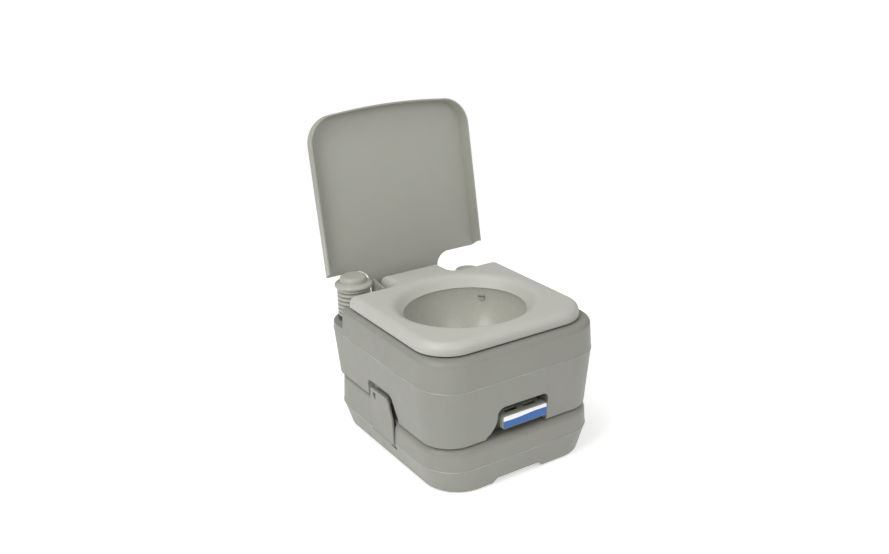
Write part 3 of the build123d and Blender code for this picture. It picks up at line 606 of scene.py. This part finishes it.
def buildFillerCap():
    low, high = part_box("filler_cap")
    piece = buildCap(fillerCapLook, high[2] - low[2])
    piece.location = ((low[0] + high[0]) / 2, (low[1] + high[1]) / 2, low[2])
    settle(piece, "fillerScrewCap", "filler_screw_cap", materials["pump_top"])
    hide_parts("filler_cap")


def buildSpoutCap():
    low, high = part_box("spout_cap")
    piece = buildCap(spoutCapLook, high[0] - low[0])
    piece.rotation_euler = (0, radians(-90), 0)
    piece.location = (high[0], (low[1] + high[1]) / 2, (low[2] + high[2]) / 2)
    settle(piece, "spoutScrewCap", "spout_screw_cap", materials["tank_plastic"])
    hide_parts("spout_cap")


# the badge in the handle: a domed film, white over blue, with no wording
badgeLook = {
    "corner": 3.6, "cornerSteps": 8, "dome": 0.5, "domeRim": 0.7, "crownRim": 1.2, "crown": 0.15,
    "smooth": 40,
    "white": (0.86, 0.87, 0.88, 1), "blue": (0.004, 0.105, 0.37, 1), "deepBlue": (0.003, 0.08, 0.31, 1),
    "scuff": (0.7, 0.72, 0.75, 1), "marks": 0.04, "streak": 30.0, "divide": 0.0036, "slope": 0.02,
    "wave": 0.0007, "waveRate": 75.0, "variation": 0.6, "rough": 0.3, "spread": 0.08, "grain": 1800.0,
    "wavy": 0.1, "bump": 0.15, "bumpDepth": 0.0002, "coat": 0.15, "coatRough": 0.1,
}


def badgeMaterial(middle):
    look = badgeLook
    material = bpy.data.materials.new("badgeFilm")
    material.use_nodes = True
    tree = material.node_tree
    shader = tree.nodes["Principled BSDF"]
    place = addNode(tree, "ShaderNodeTexCoord")
    axes = addNode(tree, "ShaderNodeSeparateXYZ", Vector=(place, "Object"))
    ripple = addMath(tree, "MULTIPLY", (axes, "X"), look["waveRate"])
    bend = addMath(tree, "SINE", (ripple, 0))
    slope = addMath(tree, "MULTIPLY_ADD", (axes, "X"), look["slope"], middle + look["divide"])
    edge = addMath(tree, "MULTIPLY_ADD", (bend, 0), look["wave"], (slope, 0))
    above = addMath(tree, "GREATER_THAN", (axes, "Z"), (edge, 0))
    grain = useGroup(
        tree, grainGroup, colour=look["blue"], shadeColour=look["deepBlue"], variation=look["variation"],
        roughness=look["rough"], spread=look["spread"], grainSize=look["grain"], waviness=look["wavy"],
    )
    bands = mixColours(tree, (above, 0), (grain, 0), look["white"])
    marks = useGroup(tree, marksGroup, amount=look["marks"], length=look["streak"])
    worn = mixColours(tree, (marks, 0), (bands, 2), look["scuff"])
    tree.links.new(worn.outputs[2], shader.inputs["Base Color"])
    tree.links.new(grain.outputs["Roughness"], shader.inputs["Roughness"])
    bump = addNode(
        tree, "ShaderNodeBump", Strength=look["bump"], Distance=look["bumpDepth"], Height=(grain, "Height")
    )
    tree.links.new(bump.outputs["Normal"], shader.inputs["Normal"])
    shader.inputs["Coat Weight"].default_value = look["coat"]
    shader.inputs["Coat Roughness"].default_value = look["coatRough"]
    return material


def buildBadge():
    look = badgeLook
    low, high = (Vector(corner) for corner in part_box("handle_label"))
    middle = (low + high) / 2
    deselectAll()
    bpy.ops.mesh.primitive_plane_add(
        size=1, location=(middle.x, high.y, middle.z), rotation=(pi / 2, 0, 0)
    )
    piece = bpy.context.object
    piece.scale = (high.x - low.x, high.z - low.z, 1)
    bpy.ops.object.transform_apply(location=True, rotation=True, scale=True)
    bpy.ops.object.mode_set(mode="EDIT")
    bpy.ops.mesh.select_mode(type="VERT")
    bpy.ops.mesh.select_all(action="SELECT")
    bpy.ops.mesh.bevel(offset=look["corner"] * mm, segments=look["cornerSteps"], affect="VERTICES")
    bpy.ops.mesh.select_mode(type="FACE")
    bpy.ops.mesh.select_all(action="SELECT")
    bpy.ops.mesh.extrude_region_move(TRANSFORM_OT_translate={"value": (0, low.y - high.y, 0)})
    # a low dome of clear resin, in two steps
    bpy.ops.mesh.inset(thickness=look["domeRim"] * mm, depth=look["dome"] * mm)
    bpy.ops.mesh.inset(thickness=look["crownRim"] * mm, depth=look["crown"] * mm)
    bpy.ops.mesh.select_all(action="SELECT")
    bpy.ops.mesh.normals_make_consistent(inside=False)
    bpy.ops.object.mode_set(mode="OBJECT")
    settle(piece, "handleBadge", "valve", badgeMaterial(middle.z), look["smooth"])
    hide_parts("handle_label")


buildBellows()
buildPumpTop()
print("pump ready")
buildFillerCap()
buildSpoutCap()
print("caps ready")
buildBadge()
print("badge ready")
